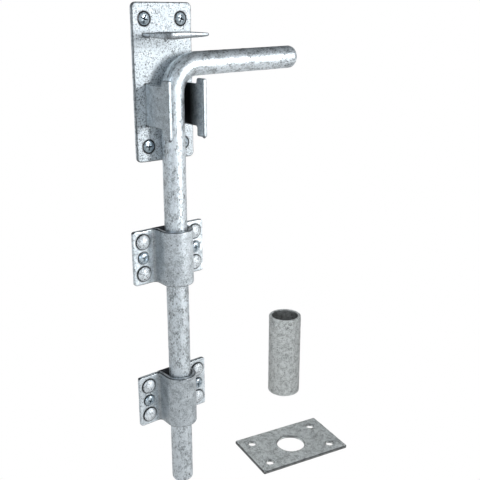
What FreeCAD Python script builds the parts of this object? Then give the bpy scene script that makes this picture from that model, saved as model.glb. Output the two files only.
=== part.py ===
import FreeCAD, Part
import math
import os

# Cane bolt for a gate: a bent round bar that drops into the ground, held by two strap
# guides and a lock plate. Millimetres, +Z up. The gate's face is the plane Y = 0, the
# viewer stands on the -Y side, and the origin is the centre of the lock plate's screws.

V = FreeCAD.Vector
OUT = "parts"
FRONT = V(0, -1, 0)
BACK = V(0, 1, 0)
UP = V(0, 0, 1)

# Cane: one round bar, bent to a handle at its top
ROD_D = 16.0
ROD_Y = -12.4            # the bar's axis, in front of the gate
BEND_R = 19.0            # of the bar's centre line
BEND_START_Z = -6.3
HANDLE_RISE_DEG = 1.05   # the handle points a little above level
HANDLE_END_X = 106.5
HANDLE_END_ROUND = 5.0
TIP_Z = -303.3
TIP_ROUND = 3.5

# Lock plate, screwed to the gate
PLATE_W = 46.0
PLATE_H = 104.0
PLATE_T = 3.0
PLATE_CORNER = 3.5
PLATE_SCREW_DX = 28.0
PLATE_SCREW_DZ = 83.0
PLATE_HOLE_R = 3.0

# Cheeks: two side walls whose horns stand in front of the handle
CHEEK_T = 3.0
CHEEK_HALF_W = 15.0
CHEEK_ROOT_Z = (-27.5, 0.4)
CHEEK_HORN_Z = (-34.3, 4.1)
CHEEK_HORN_Y = -23.0
CHEEK_FRONT_Y = -31.0
CHEEK_NOTCH_R = 1.8
CHEEK_EDGE_R = 0.9

# Park hook: an arm at the left and a strip that crosses in front of the bar. It is
# thickest at its corner. Each pair is a place along the piece and a height there.
HOOK_ARM_X = (-15.3, -9.5)
HOOK_STRIP_Y = (-31.0, -22.5)
HOOK_TIP_X = 19.3
HOOK_STRIP_TOP = ((-17.0, 33.6), (-7.0, 33.9), (4.0, 33.8), (21.0, 32.7))
HOOK_STRIP_UNDER = ((-17.0, 29.3), (-7.0, 29.1), (5.0, 29.8), (21.0, 30.7))
HOOK_ARM_TOP = ((0.0, 32.2), (-15.0, 33.3), (-33.0, 34.3))
HOOK_ARM_UNDER = ((0.0, 30.8), (-15.0, 29.8), (-33.0, 28.8))

# Guides: two equal hat straps that hold the bar against the gate
STRAP_T = 3.0
STRAP_H = 40.0
STRAP_HALF_W = 29.4
STRAP_PLAY = 0.9         # between the bar and the strap
STRAP_BEND_R = 5.5       # of the side that faces the gate
STRAP_CORNER = 2.0
GUIDE_Z = {"upper": -119.6, "lower": -232.0}
GUIDE_BOLT_X = 21.8
GUIDE_BOLT_DZ = 11.8
GUIDE_SCREW_HOLE_R = 2.3
SPLIT_Z = GUIDE_Z["upper"] + STRAP_H / 2 + 0.5   # just above the upper guide

# Fasteners
GATE_T = 45.0
SCREW_NECK_END = 0.5     # the neck ends this far behind the gate's face
PLATE_SCREW = {"head_r": 4.6, "dome": 1.0, "neck_r": 2.2, "shank_r": 2.4, "length": 30.0}
GUIDE_SCREW = {"head_r": 4.2, "dome": 2.3, "neck_r": 1.8, "shank_r": 2.05, "length": 28.0}
SCREW_POINT = 6.0
SINK_GAP = 0.05          # between a countersunk head and its seat
RECESS_ARM = 0.85
BOLT_HEAD_R = 5.5
BOLT_HEAD_H = 2.8
BOLT_RIM = 0.5
BOLT_SQUARE = 4.8
BOLT_SQUARE_GAP = 0.1
BOLT_SHANK_R = 2.4
BOLT_THREAD_R = 2.3
BOLT_GRIP = 38.0
BOLT_LENGTH = 53.0
WASHER_R = 6.4
WASHER_BORE_R = 2.7
WASHER_T = 1.2
NUT_AF = 9.5
NUT_T = 4.0
NUT_BORE_R = 2.36

# Ground fittings, beside the bolt on the ground
GROUND_Z = -304.3
SLEEVE_OD = 30.0
SLEEVE_WALL = 3.0
SLEEVE_H = 78.0
SLEEVE_AT = (156.3, 45.6)
STRIKE_W = 80.0
STRIKE_D = 50.0
STRIKE_T = 2.5
STRIKE_AT = (96.6, -31.5)
STRIKE_TURN_DEG = -10.0
STRIKE_BORE_R = 11.5
STRIKE_HOLE_R = 3.25
STRIKE_HOLE_DX = 58.0
STRIKE_HOLE_DY = 30.0
STRIKE_CORNER = 1.2

SIDES = {"left": -1, "right": 1}
LEVELS = {"top": 1, "bottom": -1}


def save(name, *solids):
    """One STEP file a node. Several solids of the same kind may share it."""
    shape = solids[0] if len(solids) == 1 else Part.makeCompound(list(solids))
    for solid in shape.Solids:
        if not solid.isValid() or solid.Volume <= 0:
            raise RuntimeError("bad solid in " + name)
    shape.exportStep(os.path.join(OUT, name + ".step"))


def one(shape):
    """The single solid that a boolean leaves."""
    solids = shape.Solids
    if len(solids) != 1:
        raise RuntimeError("expected one solid, found %d" % len(solids))
    return solids[0]


def block(x, y, z):
    """A box between two X, two Y and two Z values."""
    return Part.makeBox(x[1] - x[0], y[1] - y[0], z[1] - z[0], V(x[0], y[0], z[0]))


def rod(radius, start, end):
    """A cylinder from one point to another."""
    way = end - start
    return Part.makeCylinder(radius, way.Length, start, way)


def prism(points, way):
    """A straight prism over a closed polygon."""
    wire = Part.makePolygon(points + [points[0]])
    return Part.Face(wire).extrude(way)


def edges_along(shape, way, keep):
    """The straight edges that run along a direction and whose middle passes a test."""
    found = []
    for edge in shape.Edges:
        ends = [v.Point for v in edge.Vertexes]
        if len(ends) != 2 or not isinstance(edge.Curve, Part.Line):
            continue
        line = ends[1] - ends[0]
        if abs(abs(line.normalize().dot(way)) - 1) < 1e-6 and keep(edge.CenterOfMass):
            found.append(edge)
    return found


def always(point):
    return True


def cane_rod():
    """The straight lower bar, from just above the upper guide to its rounded tip."""
    bar = rod(ROD_D / 2, V(0, ROD_Y, TIP_Z), V(0, ROD_Y, SPLIT_Z))
    tip = [e for e in bar.Edges if len(e.Vertexes) == 1 and abs(e.CenterOfMass.z - TIP_Z) < 0.1]
    return one(bar.makeFillet(TIP_ROUND, tip))


def cane_handle():
    """The upper bar, its bend and the handle, which points to the right at rest."""
    turn = 90.0 - HANDLE_RISE_DEG
    angle = math.radians(turn)
    start = V(0, ROD_Y, BEND_START_Z)
    post = rod(ROD_D / 2, V(0, ROD_Y, SPLIT_Z), start)
    ring = Part.Face(Part.Wire(Part.makeCircle(ROD_D / 2, start, UP)))
    bend = ring.revolve(V(BEND_R, ROD_Y, BEND_START_Z), BACK, turn)
    way = V(math.sin(angle), 0, math.cos(angle))
    grip_start = start + V(BEND_R * (1 - math.cos(angle)), 0, BEND_R * math.sin(angle))
    grip_length = (HANDLE_END_X - grip_start.x) / way.x
    grip = rod(ROD_D / 2, grip_start, grip_start + way * grip_length)
    end = [e for e in grip.Edges if len(e.Vertexes) == 1 and e.CenterOfMass.x > HANDLE_END_X - 1]
    grip = grip.makeFillet(HANDLE_END_ROUND, end)
    return one(post.fuse([bend, grip]))


def screw_places():
    """The lock plate's screws, by name."""
    places = {}
    for level, up in LEVELS.items():
        for side, right in SIDES.items():
            places[level + "_" + side] = V(right * PLATE_SCREW_DX / 2, 0, up * PLATE_SCREW_DZ / 2)
    return places


def sink_cone(at, head_r, neck_r, face_y, grow):
    """A 90 degree countersink, widest at the plate's front face."""
    deep = head_r - neck_r
    return Part.makeCone(head_r + grow, neck_r + grow, deep, V(at.x, face_y, at.z), BACK)


def lock_plate():
    """The flat plate behind the handle, with four countersunk holes."""
    plate = block((-PLATE_W / 2, PLATE_W / 2), (-PLATE_T, 0), (-PLATE_H / 2, PLATE_H / 2))
    plate = plate.makeFillet(PLATE_CORNER, edges_along(plate, BACK, always))
    for at in screw_places().values():
        plate = plate.cut(rod(PLATE_HOLE_R, V(at.x, -PLATE_T, at.z), V(at.x, 0, at.z)))
        seat = sink_cone(at, PLATE_SCREW["head_r"], PLATE_HOLE_R, -PLATE_T, SINK_GAP)
        plate = plate.cut(seat)
    return one(plate)


def cheek(right):
    """A side wall of the lock: a root on the plate and a taller horn in front."""
    outer = right * CHEEK_HALF_W
    x = sorted((outer, outer - right * CHEEK_T))
    root = block(x, (CHEEK_HORN_Y - 0.01, -PLATE_T), CHEEK_ROOT_Z)
    horn = block(x, (CHEEK_FRONT_Y, CHEEK_HORN_Y), CHEEK_HORN_Z)
    wall = one(root.fuse(horn)).removeSplitter()
    across = V(1, 0, 0)

    def at_notch(p):
        return abs(p.y - CHEEK_HORN_Y) < 0.1 and CHEEK_HORN_Z[0] + 1 < p.z < CHEEK_HORN_Z[1] - 1

    def at_horn(p):
        return abs(p.z - CHEEK_HORN_Z[0]) < 0.1 or abs(p.z - CHEEK_HORN_Z[1]) < 0.1

    wall = wall.makeFillet(CHEEK_NOTCH_R, edges_along(wall, across, at_notch))
    wall = wall.makeFillet(CHEEK_EDGE_R, edges_along(wall, across, at_horn))
    return one(wall)


def smooth_line(points):
    """A smooth edge through several points."""
    spline = Part.BSplineCurve()
    spline.interpolate(points)
    return spline.toShape()


def between_curves(top, under, way):
    """A slab between two smooth edges that start and end at the same places."""
    edges = [smooth_line(top), smooth_line(under)]
    for end in (0, -1):
        edges.append(Part.makeLine(under[end], top[end]))
    return Part.Face(Part.Wire(Part.__sortEdges__(edges))).extrude(way)


def park_hook():
    """A level strip on an arm, where the raised handle rests."""
    left, inner = HOOK_ARM_X
    front, back = HOOK_STRIP_Y
    corner = inner - left - 1.5
    base = HOOK_ARM_UNDER[-1][1] - 1
    outline = [
        V(left, -PLATE_T, base),
        V(left + 0.8, front + corner, base),
        V(left + corner, front, base),
        V(HOOK_TIP_X - 2, front, base),
        V(HOOK_TIP_X, front + 3, base),
        V(HOOK_TIP_X, back - 2, base),
        V(HOOK_TIP_X - 2, back, base),
        V(inner + 2, back, base),
        V(inner, back + 2, base),
        V(inner, -PLATE_T, base),
    ]
    plan = prism(outline, UP * 8)
    across = V(HOOK_TIP_X - left + 10, 0, 0)
    top = [V(x, 0, z) for x, z in HOOK_STRIP_TOP]
    under = [V(x, 0, z) for x, z in HOOK_STRIP_UNDER]
    strip = between_curves(top, under, FRONT * (PLATE_T - front + 5))
    top = [V(left - 5, y, z) for y, z in HOOK_ARM_TOP]
    under = [V(left - 5, y, z) for y, z in HOOK_ARM_UNDER]
    arm = between_curves(top, under, across)
    return one(plan.common(strip).common(arm))


def strap_profile():
    """The hat section of a guide, seen from above: wings, bends and a round hump."""
    t = STRAP_T
    bore = ROD_D / 2 + STRAP_PLAY
    wing = bore + STRAP_BEND_R
    end = STRAP_HALF_W
    bend = STRAP_BEND_R
    lean = math.sqrt(0.5)

    def line(a, b):
        return Part.makeLine(V(a[0], a[1], 0), V(b[0], b[1], 0))

    def arc(a, m, b):
        return Part.Arc(V(a[0], a[1], 0), V(m[0], m[1], 0), V(b[0], b[1], 0)).toShape()

    edges = [line((-end, 0), (-end, -t)), line((end, 0), (end, -t))]
    for right in (-1, 1):
        for off in (0, t):
            small = bend - off
            foot = (right * wing, -off)
            knee = (right * (bore + off), -bend)
            middle = (right * (wing - small * lean), -bend + small * lean)
            edges.append(line((right * end, -off), foot))
            edges.append(arc(foot, middle, knee))
            edges.append(line(knee, (right * (bore + off), ROD_Y)))
    for off in (0, t):
        radius = bore + off
        edges.append(arc((-radius, ROD_Y), (0, ROD_Y - radius), (radius, ROD_Y)))
    return Part.Face(Part.Wire(Part.__sortEdges__(edges)))


def guide_places(z):
    """Where a guide's bolts and screws go through its wings."""
    bolts = {}
    screws = {}
    for side, right in SIDES.items():
        screws[side] = V(right * GUIDE_BOLT_X, 0, z)
        for level, up in LEVELS.items():
            bolts[side + "_" + level] = V(right * GUIDE_BOLT_X, 0, z + up * GUIDE_BOLT_DZ)
    return bolts, screws


def guide(z):
    """A hat strap with four square holes and two round ones."""
    strap = strap_profile().extrude(UP * STRAP_H)
    strap.translate(V(0, 0, z - STRAP_H / 2))

    def at_end(p):
        return abs(abs(p.x) - STRAP_HALF_W) < 0.1

    strap = strap.makeFillet(STRAP_CORNER, edges_along(strap, BACK, at_end))
    bolts, screws = guide_places(z)
    half = BOLT_SQUARE / 2 + BOLT_SQUARE_GAP
    for at in bolts.values():
        strap = strap.cut(block((at.x - half, at.x + half), (-STRAP_T - 1, 1), (at.z - half, at.z + half)))
    for at in screws.values():
        strap = strap.cut(rod(GUIDE_SCREW_HOLE_R, V(at.x, -STRAP_T - 1, at.z), V(at.x, 1, at.z)))
    return one(strap)


def dome(radius, height, at):
    """A round cap that bulges to the front from a point on a plate's front face."""
    ball_r = (radius ** 2 + height ** 2) / (2 * height)
    ball = Part.makeSphere(ball_r, V(at.x, at.y - height + ball_r, at.z))
    trim = rod(radius, at, at + FRONT * (height + 1))
    return ball.common(trim)


def cross_recess(at, head_r, depth):
    """Two crossed slots that narrow towards their bottom."""
    long = head_r * 0.55
    slots = []
    for a, b in ((long, RECESS_ARM / 2), (RECESS_ARM / 2, long)):
        front = [V(at.x + i * a, at.y, at.z + j * b) for i, j in ((-1, -1), (1, -1), (1, 1), (-1, 1))]
        deep = [V(at.x + i * a * 0.45, at.y + depth, at.z + j * b * 0.45)
                for i, j in ((-1, -1), (1, -1), (1, 1), (-1, 1))]
        rings = [Part.makePolygon(points + [points[0]]) for points in (front, deep)]
        slots.append(Part.makeLoft(rings, True, True))
    return slots[0].fuse(slots[1])


def pointed_shank(size, at):
    """A screw's neck through the metal, then its shank and its point in the gate."""
    neck_end = V(at.x, SCREW_NECK_END, at.z)
    point_start = V(at.x, size["length"] - SCREW_POINT, at.z)
    neck = rod(size["neck_r"], at, neck_end)
    shank = rod(size["shank_r"], neck_end, point_start)
    point = Part.makeCone(size["shank_r"], 0.25, SCREW_POINT, point_start, BACK)
    return neck.fuse([shank, point])


def plate_screw(place):
    """A raised countersunk screw, flush with the lock plate at its rim."""
    size = PLATE_SCREW
    face = V(place.x, -PLATE_T, place.z)
    cap = dome(size["head_r"], size["dome"], face)
    cone = sink_cone(place, size["head_r"], size["neck_r"], -PLATE_T, 0.0)
    body = cap.fuse([cone, pointed_shank(size, face)])
    top = face + FRONT * (size["dome"] + 0.01)
    return one(body.cut(cross_recess(top, size["head_r"], 2.2)))


def guide_screw(place):
    """A pan head screw on a guide's wing."""
    size = GUIDE_SCREW
    face = V(place.x, -STRAP_T, place.z)
    rim = rod(size["head_r"], face, face + FRONT * size["dome"])
    edge = [e for e in rim.Edges if len(e.Vertexes) == 1 and e.CenterOfMass.y < face.y - 1]
    pan = rim.makeFillet(size["dome"] * 0.7, edge)
    body = pan.fuse(pointed_shank(size, face))
    top = face + FRONT * (size["dome"] + 0.01)
    return one(body.cut(cross_recess(top, size["head_r"], 1.7)))


def carriage_bolt(place):
    """A mushroom head, a square neck in the strap, a grip length and a threaded end."""
    face = V(place.x, -STRAP_T, place.z)
    rim = rod(BOLT_HEAD_R, face, face + FRONT * BOLT_RIM)
    cap = dome(BOLT_HEAD_R, BOLT_HEAD_H - BOLT_RIM, face + FRONT * BOLT_RIM)
    half = BOLT_SQUARE / 2
    neck_end = V(place.x, SCREW_NECK_END, place.z)
    square = block((place.x - half, place.x + half), (face.y, neck_end.y), (place.z - half, place.z + half))
    grip_end = V(place.x, BOLT_GRIP, place.z)
    grip = rod(BOLT_SHANK_R, neck_end, grip_end)
    thread = rod(BOLT_THREAD_R, grip_end, V(place.x, BOLT_LENGTH, place.z))
    edge = [e for e in thread.Edges if len(e.Vertexes) == 1 and e.CenterOfMass.y > BOLT_LENGTH - 0.1]
    thread = thread.makeChamfer(0.5, edge)
    return one(rim.fuse([cap, square, grip, thread]))


def washer(place):
    """A flat washer on the gate's far face."""
    at = V(place.x, GATE_T, place.z)
    disc = rod(WASHER_R, at, at + BACK * WASHER_T)
    return one(disc.cut(rod(WASHER_BORE_R, at + FRONT, at + BACK * (WASHER_T + 1))))


def nut(place):
    """A hexagon nut with its corners rounded off, on the washer."""
    at = V(place.x, GATE_T + WASHER_T, place.z)
    corner_r = NUT_AF / math.sqrt(3)
    ring = []
    for i in range(6):
        turn = math.radians(60 * i)
        ring.append(at + V(corner_r * math.cos(turn), 0, corner_r * math.sin(turn)))
    body = prism(ring, BACK * NUT_T)
    cone_h = corner_r * 1.2
    facing = Part.makeCone(NUT_AF / 2 + cone_h, NUT_AF / 2 - 0.1, cone_h, at + BACK * (NUT_T - cone_h), BACK)
    body = body.common(facing)
    return one(body.cut(rod(NUT_BORE_R, at + FRONT, at + BACK * (NUT_T + 1))))


def ground_sleeve():
    """A length of tube that is set in the ground."""
    base = V(SLEEVE_AT[0], SLEEVE_AT[1], GROUND_Z)
    top = base + UP * SLEEVE_H
    bore = SLEEVE_OD / 2 - SLEEVE_WALL
    return one(rod(SLEEVE_OD / 2, base, top).cut(rod(bore, base - UP, top + UP)))


def strike_plate():
    """A flat plate for a hard floor, with the bar's hole and four screw holes."""
    plate = block((-STRIKE_W / 2, STRIKE_W / 2), (-STRIKE_D / 2, STRIKE_D / 2), (0, STRIKE_T))
    plate = plate.makeFillet(STRIKE_CORNER, edges_along(plate, UP, always))
    plate = plate.cut(rod(STRIKE_BORE_R, V(0, 0, -1), V(0, 0, STRIKE_T + 1)))
    for i in (-1, 1):
        for j in (-1, 1):
            at = V(i * STRIKE_HOLE_DX / 2, j * STRIKE_HOLE_DY / 2, -1)
            plate = plate.cut(rod(STRIKE_HOLE_R, at, at + UP * (STRIKE_T + 2)))
    plate.rotate(V(0, 0, 0), UP, STRIKE_TURN_DEG)
    plate.translate(V(STRIKE_AT[0], STRIKE_AT[1], GROUND_Z))
    return one(plate)


def main():
    os.makedirs("parts", exist_ok=True)
    save("cane_rod", cane_rod())
    save("cane_handle", cane_handle())
    save("lock_plate", lock_plate())
    for side, right in SIDES.items():
        save("cheek_" + side, cheek(right))
    save("park_hook", park_hook())
    save("ground_sleeve", ground_sleeve())
    save("strike_plate", strike_plate())
    for name, place in screw_places().items():
        save("plate_screw_" + name, plate_screw(place))
    for level, z in GUIDE_Z.items():
        save("guide_" + level, guide(z))
        bolts, screws = guide_places(z)
        for name, place in screws.items():
            save("guide_screw_%s_%s" % (level, name), guide_screw(place))
        for name, place in bolts.items():
            tag = "_%s_%s" % (level, name)
            save("carriage_bolt" + tag, carriage_bolt(place))
            save("washer" + tag, washer(place))
            save("hex_nut" + tag, nut(place))


main()
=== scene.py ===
import itertools
import math

import bmesh
import bpy
import numpy as np
from mathutils import Matrix, Vector, noise


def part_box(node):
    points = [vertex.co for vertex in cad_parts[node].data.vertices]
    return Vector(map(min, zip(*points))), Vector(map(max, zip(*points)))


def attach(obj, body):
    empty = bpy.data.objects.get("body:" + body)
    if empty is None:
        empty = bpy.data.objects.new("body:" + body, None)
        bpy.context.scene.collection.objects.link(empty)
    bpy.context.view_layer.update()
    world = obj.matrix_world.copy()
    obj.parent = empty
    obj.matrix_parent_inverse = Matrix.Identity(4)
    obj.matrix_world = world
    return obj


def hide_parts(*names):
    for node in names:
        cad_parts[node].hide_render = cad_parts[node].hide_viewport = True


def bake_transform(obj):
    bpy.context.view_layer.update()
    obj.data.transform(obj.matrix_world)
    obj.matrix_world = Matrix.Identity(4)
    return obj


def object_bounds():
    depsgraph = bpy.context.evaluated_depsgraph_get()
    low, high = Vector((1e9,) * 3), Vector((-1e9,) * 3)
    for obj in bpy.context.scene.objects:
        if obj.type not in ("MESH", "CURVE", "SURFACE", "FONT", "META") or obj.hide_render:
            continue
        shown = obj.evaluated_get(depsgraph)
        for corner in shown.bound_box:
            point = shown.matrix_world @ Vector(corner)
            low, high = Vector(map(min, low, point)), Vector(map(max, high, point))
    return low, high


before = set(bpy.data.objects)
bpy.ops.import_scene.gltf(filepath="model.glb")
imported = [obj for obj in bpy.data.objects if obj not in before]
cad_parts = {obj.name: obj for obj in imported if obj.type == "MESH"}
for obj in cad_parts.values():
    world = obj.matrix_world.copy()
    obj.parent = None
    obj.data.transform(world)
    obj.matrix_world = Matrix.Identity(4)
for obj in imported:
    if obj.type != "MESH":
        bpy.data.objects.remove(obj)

CAD_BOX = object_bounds()
MM = 0.001
SIDES = ("left", "right")
LEVELS = ("top", "bottom")
GUIDES = ("upper", "lower")
FIXED, LOWER, UPPER = "fixed_fittings", "cane_lower", "cane_upper"

# Sizes that a box doesn't give, as in the CAD model, in metres
SHEET_T = 3 * MM
BEND_R = 19 * MM
BEND_START_Z = -6.3 * MM
HANDLE_RISE = math.radians(1.05)
TIP_ROUND = 3.5 * MM
HANDLE_ROUND = 5 * MM
STRAP_PLAY = 0.9 * MM
STRAP_BEND_R = 5.5 * MM
CHEEK_HORN_Y = -23 * MM
CHEEK_ROOT_Z = (-27.5 * MM, 0.4 * MM)
PLATE_CORNER_R = 3.5 * MM
BOLT_SQUARE = 4.8 * MM
BOLT_GRIP_END = 38 * MM
BOLT_GRIP_R = 2.4 * MM
PLATE_SCREW_R = 2.4 * MM
GUIDE_SCREW_R = 2.05 * MM
SCREW_POINT = 6 * MM
NECK_END = 0.5 * MM
WASHER_BORE_R = 2.7 * MM
NUT_BORE_R = 2.36 * MM
SLEEVE_WALL = 3 * MM
STRIKE_SIZE = (80 * MM, 50 * MM)
STRIKE_TURN = math.radians(-10)
STRIKE_BORE_R = 11.5 * MM
STRIKE_HOLE_STEP = (58 * MM, 30 * MM)
STRIKE_HOLE_R = 3.25 * MM
HOOK_ARM_X = (-15.3 * MM, -9.5 * MM)
HOOK_STRIP_BACK = -22.5 * MM

# Sizes that the visual model adds
STRAP_FOLD_X = 12.8 * MM
GUIDE_CORNER_R = 2.2 * MM
SCREW_SEAT = 0.45 * MM
BOLT_THREAD = dict(core=1.9 * MM, crest=2.3 * MM, pitch=1.06 * MM)
HOOK_SLAB = 4.5 * MM
HOOK_FRONT_DEPTH = 3 * MM
HOOK_UNDERCUT = 2 * MM

# The hook's heights, in mm: along X in its strip, and along Y in its arm
HOOK_STRIP_AT = (-17, -7, 4.5, 21)
HOOK_STRIP_TOP = (33.6, 33.9, 33.8, 32.7)
HOOK_STRIP_UNDER = (29.3, 29.1, 29.8, 30.7)
HOOK_ARM_AT = (-33, -15, 0)
HOOK_ARM_TOP = (34.3, 33.3, 32.2)
HOOK_ARM_UNDER = (28.8, 29.8, 30.8)

# Skins: how far zinc rounds an edge, and how uneven it lies
SKIN_VOXEL = 0.5 * MM
HOOK_VOXEL = 0.35 * MM
SKIN_SMOOTH = 2
LUMP = 0.10 * MM
SHARP_EDGE = 0.01 * MM

# Painted shade: its reach and its depth at screw heads, welded roots, folds, over the guides' humps up to
# their wings, and at the bore and rim of the ground fittings
PLATE_HEAD_SHADE = (0.6 * MM, 1.0)
ROOT_SHADE = (0.6 * MM, 0.9)
GUIDE_HEAD_SHADE = (0.65 * MM, 1.0)
FOLD_SHADE = (1.4 * MM, 0.55)
HUMP_SHADE = (2.0 * MM, 0.30)
BORE_SHADE = (0.4 * MM, 0.75)
RIM_SHADE = (0.5 * MM, 0.75)

# The zinc's texture: the sizes of its patches and pits against its grain, and how dark the painted shade is
CLOUD_SCALE = 0.22
PIT_SCALE = 0.40
PIT_GROUP_SCALE = 0.30
PIT_EDGE = (0.14, 0.30)
PIT_FADE = 0.13
PAINTED_SHADE_TINT = 0.06

# Where shade is painted in the channel between the cheeks
CHANNEL_MOUTH_Y = -35 * MM
CHANNEL_DEEP_Y = -15 * MM
CHANNEL_HALF_X = 13 * MM

# The bar's mesh, and its texture's scale along it, where less than 1 draws the texture out
CANE_STEP = 1.0 * MM
BEND_STEPS = 36
ROUND_STEPS = 8
DRAWN_SCALE = 0.60

# Camera and light
CAMERA_PLACE = (-266.1 * MM, -425.7 * MM, 44.7 * MM)
CAMERA_HEADING = math.radians(38.03)
CAMERA_DIP = math.radians(17.34)
CAMERA_LENS = 54.4
FITTINGS_MIDDLE = (0.0, 0.0, -0.1)
ROOM_TINT = (0.90, 0.955, 1.0)
BRIGHT_SIDE = (0.28, -0.78, -0.56)
FLOOR_GLOW = 0.62
FLOOR_REACH = 6.0
FILL_TINT = (0.82, 0.91, 1.0)
# The dark grey that stands for the gate's face in shade behind the humps
GATE_SHADOW_GREY = (0.12, 0.12, 0.13)


# ---------------------------------------------------------------- camera, light and stage

def look_along(heading, dip):
    """A camera's turn, from a heading to the right of +Y and a dip below level."""
    level = math.cos(dip)
    ahead = Vector((math.sin(heading) * level, math.cos(heading) * level, -math.sin(dip)))
    return ahead.to_track_quat("-Z", "Y").to_matrix().to_4x4()


def make_camera():
    data = bpy.data.cameras.new("camera")
    data.sensor_width = 36.0
    data.lens = CAMERA_LENS
    data.clip_start = 0.01
    data.clip_end = 20.0
    camera = bpy.data.objects.new("camera", data)
    camera.matrix_world = Matrix.Translation(CAMERA_PLACE) @ look_along(CAMERA_HEADING, CAMERA_DIP)
    bpy.context.scene.collection.objects.link(camera)
    bpy.context.scene.camera = camera


def link_lamp(lamp_name, pieces, state):
    """Keeps a lamp's light off some pieces (EXCLUDE), or to those pieces only (INCLUDE)."""
    lamp = bpy.data.objects[lamp_name]
    group = bpy.data.collections.new(lamp_name + "_pieces")
    for piece in pieces:
        group.objects.link(piece)
    lamp.light_linking.receiver_collection = group
    for item in group.collection_objects:
        item.light_linking.link_state = state


def area_light(name, place, target, size, watts, tint=(1, 1, 1), spread=180):
    """A rectangular lamp that looks from its place to its target. A spread below 180 narrows its beam."""
    data = bpy.data.lights.new(name, "AREA")
    data.shape = "RECTANGLE"
    data.size, data.size_y = size
    data.energy = watts
    data.color = tint
    data.spread = math.radians(spread)
    lamp = bpy.data.objects.new(name, data)
    lamp.location = place
    lamp.rotation_mode = "QUATERNION"
    lamp.rotation_quaternion = (Vector(target) - Vector(place)).to_track_quat("-Z", "Y")
    bpy.context.scene.collection.objects.link(lamp)


LAMPS = {
    "key_right": dict(place=(0.51, -0.96, 0.16), target=(0.03, 0, 0.02), size=(0.20, 0.4), watts=2.25,
                      spread=90),
    "low_bounce": dict(place=(0.20, -0.70, -0.36), target=(0.08, 0, 0.14), size=(0.6, 0.15), watts=2.7,
                       spread=70),
    "front_fill": dict(place=(-0.45, -1.20, -0.10), target=FITTINGS_MIDDLE, size=(0.12, 0.6), watts=0.6,
                       tint=FILL_TINT),
    "left_fill": dict(place=(-0.80, -0.30, 0.25), target=(0, 0, 0), size=(0.3, 0.5), watts=0.66,
                      tint=FILL_TINT, spread=90),
    "ground_fill": dict(place=(-0.35, -0.55, 0.30), target=(0.13, 0, -0.28), size=(0.5, 0.5), watts=4.0),
    "right_gleam": dict(place=(0.75, -0.55, 0), target=(0, 0, -0.12), size=(0.15, 0.3), watts=0.6, spread=90),
    "back_fill": dict(place=(0.3, 1.2, -0.10), target=FITTINGS_MIDDLE, size=(0.8, 0.8), watts=3.5),
}


def make_lights():
    for name, lamp in LAMPS.items():
        area_light(name, **lamp)


def camera_only(nodes, links, seen, other, surface):
    """One shader where the camera looks, and another for all the light that bounces."""
    mix = nodes.new("ShaderNodeMixShader")
    path = nodes.new("ShaderNodeLightPath")
    links.new(path.outputs["Is Camera Ray"], mix.inputs["Fac"])
    links.new(other.outputs[0], mix.inputs[1])
    links.new(seen.outputs[0], mix.inputs[2])
    links.new(mix.outputs[0], surface)


def make_world():
    """A room that is bright low at the front and a little to the right, and dim above and behind."""
    world = bpy.data.worlds.new("studio")
    bpy.context.scene.world = world
    world.use_nodes = True
    nodes, links = world.node_tree.nodes, world.node_tree.links
    nodes.clear()
    out = nodes.new("ShaderNodeOutputWorld")
    room = nodes.new("ShaderNodeBackground")
    seen = nodes.new("ShaderNodeBackground")
    seen.inputs["Color"].default_value = (1, 1, 1, 1)
    room.inputs["Color"].default_value = (*ROOM_TINT, 1)
    where = nodes.new("ShaderNodeTexCoord")
    side = nodes.new("ShaderNodeVectorMath")
    side.operation = "DOT_PRODUCT"
    side.inputs[1].default_value = BRIGHT_SIDE
    links.new(where.outputs["Generated"], side.inputs[0])
    level = nodes.new("ShaderNodeMapRange")
    level.inputs["From Min"].default_value = -0.7
    level.inputs["From Max"].default_value = 0.9
    level.inputs["To Min"].default_value = 0.02
    level.inputs["To Max"].default_value = 0.50
    links.new(side.outputs["Value"], level.inputs["Value"])
    links.new(level.outputs["Result"], room.inputs["Strength"])
    camera_only(nodes, links, seen, room, out.inputs["Surface"])


def plane(name, corners, material):
    mesh = bpy.data.meshes.new(name)
    mesh.from_pydata([tuple(c) for c in corners], [], [tuple(range(len(corners)))])
    obj = bpy.data.objects.new(name, mesh)
    bpy.context.scene.collection.objects.link(obj)
    mesh.materials.append(material)
    return obj


def white_material(name, other):
    """Plain white to the camera, and another shader to all the light that bounces."""
    mat = bpy.data.materials.new(name)
    mat.use_nodes = True
    nodes, links = mat.node_tree.nodes, mat.node_tree.links
    nodes.clear()
    out = nodes.new("ShaderNodeOutputMaterial")
    glow = nodes.new("ShaderNodeEmission")
    rest = nodes.new(other)
    if other == "ShaderNodeEmission":
        rest.inputs["Strength"].default_value = FLOOR_GLOW
    camera_only(nodes, links, glow, rest, out.inputs["Surface"])
    return mat


def one_sided(mat):
    """The material shows from its front only, so that nothing behind it is hidden from the back."""
    nodes, links = mat.node_tree.nodes, mat.node_tree.links
    out = next(n for n in nodes if n.bl_idname == "ShaderNodeOutputMaterial")
    front = out.inputs["Surface"].links[0].from_socket
    mix = nodes.new("ShaderNodeMixShader")
    clear = nodes.new("ShaderNodeBsdfTransparent")
    side = nodes.new("ShaderNodeNewGeometry")
    links.new(side.outputs["Backfacing"], mix.inputs["Fac"])
    links.new(front, mix.inputs[1])
    links.new(clear.outputs[0], mix.inputs[2])
    links.new(mix.outputs[0], out.inputs["Surface"])
    return mat


def upright(x, y, z):
    """The corners of an upright rectangle that faces the viewer."""
    return [(u, y, v) for u, v in rectangle(x, z)]


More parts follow.
